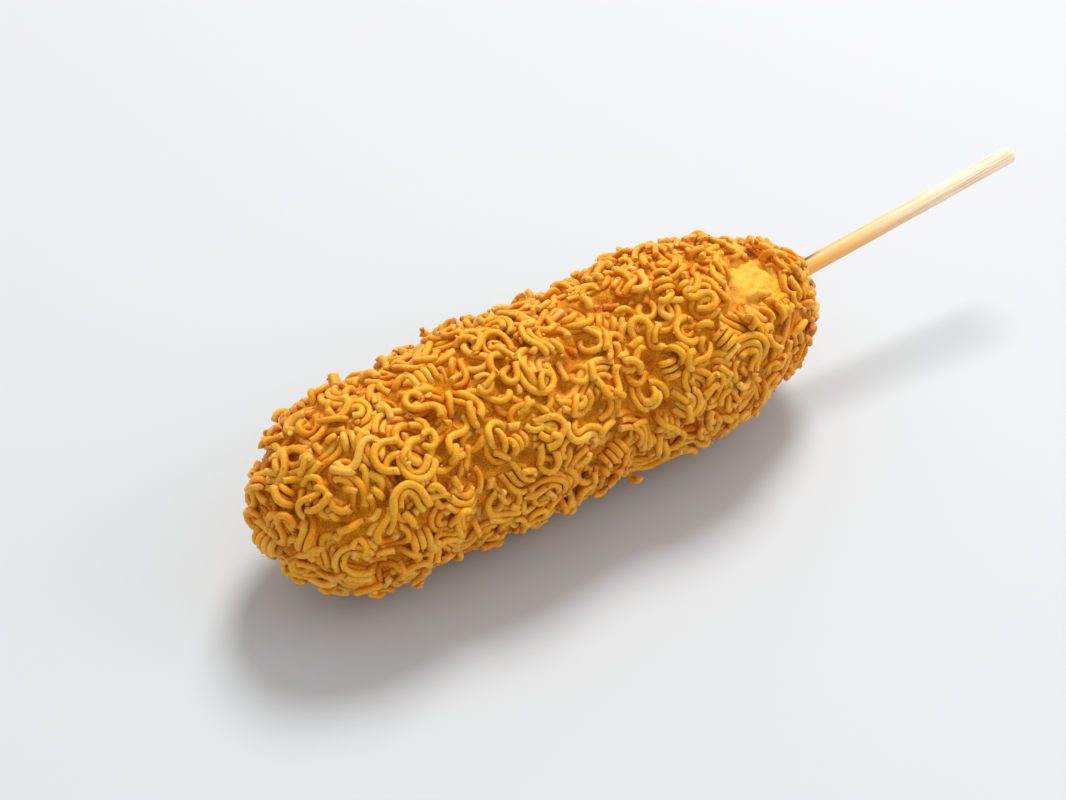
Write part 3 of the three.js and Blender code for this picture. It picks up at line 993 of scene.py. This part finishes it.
def noodle_material(noodles):
    """Golden where a strand stands clear, toasted and darker where it's sunk, partly as painted shade in the
    hollows, paler at its broken ends.
    """

    def share(n):
        # Partly painted shade: strands that lie low are darkened towards the toasted colour, for their
        # batter film and for the shade in the hollows.
        raised = spanned(n, point_value(n, "height"), (0.10, 0.80))
        return calculated(n, "ADD", raised, spanned(n, point_value(n, "tone"), (0.0, 1.0), (-0.30, 0.20)))

    def paint(n, colour_here):
        pale = spanned(n, point_value(n, "tone"), (0.82, 1.0), (0.0, 0.35))
        ends = calculated(n, "MULTIPLY_ADD", point_value(n, "tip"), 0.4, pale)
        return mixed(n, n.add("ShaderNodeClamp", Value=ends).outputs[0], colour_here, rgba(noodles.starchy))

    look = {"grains": 1700.0, "speckle": 0.8, "bump": 0.25, "gloss": 0.34}
    return fried_material("fried_noodle", share, paint, noodles.toasted_and_shade, noodles.golden, **look)


def batter_material(batter):
    """Darker in the hollows and lighter where it climbs on the strands, as painted shade; palest on the bare
    patch.
    """

    def share(n):
        # Painted shade: the lower the batter lies between the strands, the nearer it comes to the dark
        # hollow colour.
        raised = spanned(n, point_value(n, "raised"), (0.0, 2.2), (0.15, 1.05))
        return calculated(n, "MULTIPLY_ADD", point_value(n, "bare"), 0.6, raised)

    def paint(n, colour_here):
        bare = spanned(n, point_value(n, "bare"), (0.25, 0.9), (0.0, 0.72))
        return mixed(n, bare, colour_here, rgba(batter.bare))

    look = {"grains": 2300.0, "speckle": 1.6, "bump": 1.0, "gloss": 0.38}
    return fried_material("fried_batter", share, paint, batter.hollow_shade, batter.crust, **look)


def crumb_material(noodles, batter):
    """From toasted to pale, with a few burnt black, and darker on their sides as painted shade."""

    def share(n):
        return spanned(n, point_value(n, "tone"), (0.0, 1.0), (0.1, 1.0))

    def paint(n, colour_here):
        return mixed(n, point_value(n, "burnt"), colour_here, rgba(batter.burnt))

    look = {"grains": 1700.0, "speckle": 0.7, "bump": 0.4, "gloss": 0.3}
    return fried_material("fried_crumb", share, paint, noodles.toasted_and_shade, noodles.starchy, **look)


def wood_material(stick):
    """Long grain along the stick, an oily stain and a small burn where it leaves the body."""
    stained = (0.103, 0.150)  # metres along the stick over which the stain fades
    scorched = (0.095, 0.101)  # and the burn
    burnt_side = (0.0270, 0.0284)  # metres across it over which the burn sets in
    material, n = new_material("stick_wood")
    place = n.add("ShaderNodeTexCoord").outputs["Object"]
    straight = n.add("ShaderNodeMapping", Vector=place, Rotation=(0, stick.rise, 0)).outputs[0]
    drawn_out = n.add("ShaderNodeMapping", Vector=straight, Scale=(0.035, 1, 1)).outputs[0]
    grain = clouds(n, drawn_out, 1900.0, 4.0, 0.6)
    broad = clouds(n, drawn_out, 500.0, 2.0)
    streaks = calculated(n, "MULTIPLY", spanned(n, grain, (0.40, 0.62)), spanned(n, broad, (0.25, 0.55)))
    base = mixed(n, streaks, rgba(stick.wood), rgba(stick.grain))
    along, across, high = n.add("ShaderNodeSeparateXYZ", Vector=straight).outputs
    stain = spanned(n, calculated(n, "MULTIPLY_ADD", broad, 0.03, along), stained, (1.0, 0.0))
    oiled = mixed(n, stain, base, rgba(stick.oiled))
    burn = spanned(n, calculated(n, "MULTIPLY_ADD", grain, 0.014, along), scorched, (1.0, 0.0))
    slanting = calculated(n, "MULTIPLY_ADD", across, 1.14, high)
    beyond = spanned(n, calculated(n, "MULTIPLY_ADD", grain, 0.003, slanting), burnt_side)
    burnt = mixed(n, calculated(n, "MULTIPLY", burn, beyond), oiled, rgba(stick.burn))
    bump = n.add("ShaderNodeBump", Strength=0.35, Distance=0.3 * MM, Height=grain)
    shader = n.add(
        "ShaderNodeBsdfPrincipled",
        Base_Color=burnt,
        Roughness=spanned(n, stain, (0.0, 1.0), (0.62, 0.42)),
        Normal=bump.outputs[0],
        Specular_IOR_Level=0.35,
    )
    n.add("ShaderNodeOutputMaterial", Surface=shader.outputs[0])
    return material


def stick_mesh(body, stick):
    """A turned rod: rings of one radius along a straight line, with broken edges and flat ends."""
    sides, rings = 32, 120
    edge, ridges = 0.4 * MM, 0.04 * MM
    crossing = np.array([body.body_length / 2 - stick.crosses, 0, body.axis_height])
    ahead = np.array([math.cos(stick.rise), 0, math.sin(stick.rise)])
    aside = np.array([0.0, 1.0, 0.0])
    tip = crossing + ahead * (stick.crosses + stick.showing)
    along = np.linspace(-stick.stick_length + edge, -edge, rings)
    along = np.concatenate([[-stick.stick_length], along, [0]])
    radius = np.full(rings + 2, stick.diameter / 2)
    radius[[0, -1]] -= edge
    line = tip + ahead * along[:, None]
    turn = 2 * np.pi * np.arange(sides) / sides
    spoke = np.cos(turn)[:, None] * aside + np.sin(turn)[:, None] * np.cross(ahead, aside)
    skin = line[:, None] + radius[:, None, None] * spoke
    skin += spoke * (ridges * noise(skin * np.array([0.15, 1, 1]), 1.5 * MM, seed=5))[..., None]
    points = np.concatenate([skin.reshape(-1, 3), line[[0, -1]]])
    return mesh_object("wooden_stick", points, closed_sleeve(rings + 2, sides))


# --- Operators --------------------------------------------------------------

STRAND_PIECES = {
    "bundles": "noodle_bundles",
    "rolls": "noodle_rolls",
    "loops": "noodle_loops",
    "curls": "noodle_curls",
    "waves": "noodle_waves",
    "arches": "noodle_arches",
    "hooks": "noodle_hooks",
    "stubs": "noodle_stubs",
}
STRAND_SIDES = 8
BATTER_RINGS, BATTER_SIDES = 310, 300

# The last coat that was laid, and the settings it was laid for.
LAID = {}


def laid_coat(scene):
    """The coat for the present settings, laid once: the noodles, batter and crumbs share it."""
    groups = (scene.corn_dog_body, scene.corn_dog_noodles, scene.corn_dog_batter)
    wanted = [str(getattr(group, key)) for group in groups for key in group.__annotations__]
    if LAID.get("settings") != wanted:
        coat = Coat(Core(scene.corn_dog_body, scene.corn_dog_batter), scene.corn_dog_noodles)
        lay_standouts(coat, STANDOUTS)
        lay_bundles(coat, scene.corn_dog_noodles)
        lay_curls(coat, scene.corn_dog_noodles)
        lay_standouts(coat, ARCHES, ARCHES_RISE)
        lay_standouts(coat, TALL, TALL_RISE)
        lay_bits(coat, scene.corn_dog_noodles)
        LAID.update(settings=wanted, coat=coat)
    return LAID["coat"]


class CORNDOG_OT_noodles(bpy.types.Operator):
    """Builds the noodle strands, one piece for each kind"""

    bl_idname = "corn_dog.noodles"
    bl_label = "Noodles"

    def execute(self, context):
        scene = context.scene
        coat = laid_coat(scene)
        material = noodle_material(scene.corn_dog_noodles)
        for kind, name in STRAND_PIECES.items():
            if kind not in coat.strands:
                raise RuntimeError(f"no strand of {name} found a place")
            piece = strand_piece(name, coat, kind, STRAND_SIDES)
            finish_piece(piece, material, BODY_NODE)
        return {"FINISHED"}


class CORNDOG_OT_batter(bpy.types.Operator):
    """Builds the batter that holds the noodles"""

    bl_idname = "corn_dog.batter"
    bl_label = "Batter"

    def execute(self, context):
        coat = laid_coat(context.scene)
        piece = batter_mesh(coat.core, coat, BATTER_RINGS, BATTER_SIDES)
        finish_piece(piece, batter_material(context.scene.corn_dog_batter), BODY_NODE)
        return {"FINISHED"}


class CORNDOG_OT_crumbs(bpy.types.Operator):
    """Scatters the crumbs"""

    bl_idname = "corn_dog.crumbs"
    bl_label = "Crumbs"

    def execute(self, context):
        scene = context.scene
        coat = laid_coat(scene)
        piece = grain_mesh(coat.core, coat, scene.corn_dog_batter.crumbs)
        material = crumb_material(scene.corn_dog_noodles, scene.corn_dog_batter)
        finish_piece(piece, material, BODY_NODE)
        return {"FINISHED"}


class CORNDOG_OT_stick(bpy.types.Operator):
    """Builds the wooden stick"""

    bl_idname = "corn_dog.stick"
    bl_label = "Wooden stick"

    def execute(self, context):
        scene = context.scene
        piece = stick_mesh(scene.corn_dog_body, scene.corn_dog_stick)
        finish_piece(piece, wood_material(scene.corn_dog_stick), STICK_NODE)
        return {"FINISHED"}


class CORNDOG_OT_stage(bpy.types.Operator):
    """Builds the floor, the lights and the camera"""

    bl_idname = "corn_dog.stage"
    bl_label = "Floor, lights and camera"

    def execute(self, context):
        stage = context.scene.corn_dog_stage
        make_camera(context.scene)
        make_floor(stage)
        make_lights(context.scene, stage)
        return {"FINISHED"}


def finish_piece(piece, material, node):
    """Gives a piece its material, hangs it under the root body, and hides the solid it stands for."""
    piece.data.materials.append(material)
    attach(piece, "root")
    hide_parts(node)


def aim(thing, place, target):
    """Puts a light or camera at a place, looking at a target with the world's up kept upright."""
    back = unit(np.array(place) - np.array(target))
    right = unit(np.cross(UP, back))
    up = np.cross(back, right)
    turned = np.vstack([np.column_stack([right, up, back, place]), [0, 0, 0, 1]])
    thing.matrix_world = Matrix(turned.tolist())


def make_camera(scene):
    """A camera that looks down on the body from the nose's side, with the stick behind."""
    place = np.array([-208, -307, 379.5]) * MM
    ahead = np.array([0.4004, 0.6049, -0.6884])
    camera = bpy.data.objects.new("camera", bpy.data.cameras.new("camera"))
    scene.collection.objects.link(camera)
    scene.camera = camera
    camera.data.sensor_width = 36.0
    camera.data.lens = 67.5
    camera.data.clip_start = 0.05
    camera.data.clip_end = 20.0
    aim(camera, place, place + ahead)


def make_floor(stage):
    half = stage.floor_size / 2
    corners = np.array([[-half, -half, 0], [half, -half, 0], [half, half, 0], [-half, half, 0]])
    floor = mesh_object("floor", corners, [np.array([[0, 1, 2, 3]])])
    material, n = new_material("pale_floor")
    shader = n.add("ShaderNodeBsdfPrincipled", Base_Color=rgba(stage.floor), Roughness=0.7)
    n.add("ShaderNodeOutputMaterial", Surface=shader.outputs[0])
    floor.data.materials.append(material)
    floor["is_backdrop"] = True


def add_light(scene, name, place, target, size, power, tint):
    """A round light of a size in metres and a power in watts."""
    data = bpy.data.lights.new(name, "AREA")
    data.shape = "DISK"
    data.size = size
    data.energy = power
    data.color = tint
    light = bpy.data.objects.new(name, data)
    scene.collection.objects.link(light)
    aim(light, np.array(place), np.array(target))


def make_lights(scene, stage):
    """A soft room, a key light high beyond the stick and a weak one lower on the near side."""
    world = bpy.data.worlds.new("soft_room")
    world.use_nodes = True
    background = world.node_tree.nodes["Background"].inputs
    background["Color"].default_value = (1.0, 0.97, 0.93, 1)
    background["Strength"].default_value = stage.sky
    scene.world = world
    middle = (0.02, 0.0, 0.03)
    add_light(scene, "key", (0.8, 0.72, 1.65), middle, 0.7, stage.key_power, (1.0, 0.98, 0.95))
    add_light(scene, "fill", (0.75, -0.6, 0.6), middle, 0.8, stage.fill_power, (0.95, 0.97, 1.0))
    scene.view_settings.view_transform = "Standard"


class CORNDOG_PT_panel(bpy.types.Panel):
    """Buttons that build the corn dog"""

    bl_idname = "CORNDOG_PT_panel"
    bl_label = "Corn Dog"
    bl_space_type = "VIEW_3D"
    bl_region_type = "UI"
    bl_category = "Corn Dog"

    def draw(self, context):
        for name, group in GROUPS.items():
            for key in group.__annotations__:
                self.layout.prop(getattr(context.scene, name), key)
        for operator in OPERATORS:
            self.layout.operator(operator.bl_idname)


GROUPS = {
    "corn_dog_body": CornDogBody,
    "corn_dog_noodles": CornDogNoodles,
    "corn_dog_batter": CornDogBatter,
    "corn_dog_stick": CornDogStick,
    "corn_dog_stage": CornDogStage,
}
OPERATORS = (
    CORNDOG_OT_stage,
    CORNDOG_OT_noodles,
    CORNDOG_OT_batter,
    CORNDOG_OT_crumbs,
    CORNDOG_OT_stick,
)
CLASSES = (*GROUPS.values(), *OPERATORS, CORNDOG_PT_panel)


def register():
    for cls in CLASSES:
        bpy.utils.register_class(cls)
    for name, group in GROUPS.items():
        setattr(bpy.types.Scene, name, PointerProperty(type=group))


def unregister():
    for name in GROUPS:
        delattr(bpy.types.Scene, name)
    for cls in reversed(CLASSES):
        bpy.utils.unregister_class(cls)


def main():
    register()
    bpy.ops.corn_dog.stage()
    bpy.ops.corn_dog.noodles()
    bpy.ops.corn_dog.batter()
    bpy.ops.corn_dog.crumbs()
    bpy.ops.corn_dog.stick()
    low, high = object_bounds()
    sizes = {"cad": [list(CAD_LOW), list(CAD_HIGH)], "visual": [list(low), list(high)]}


if __name__ == "__main__":
    main()
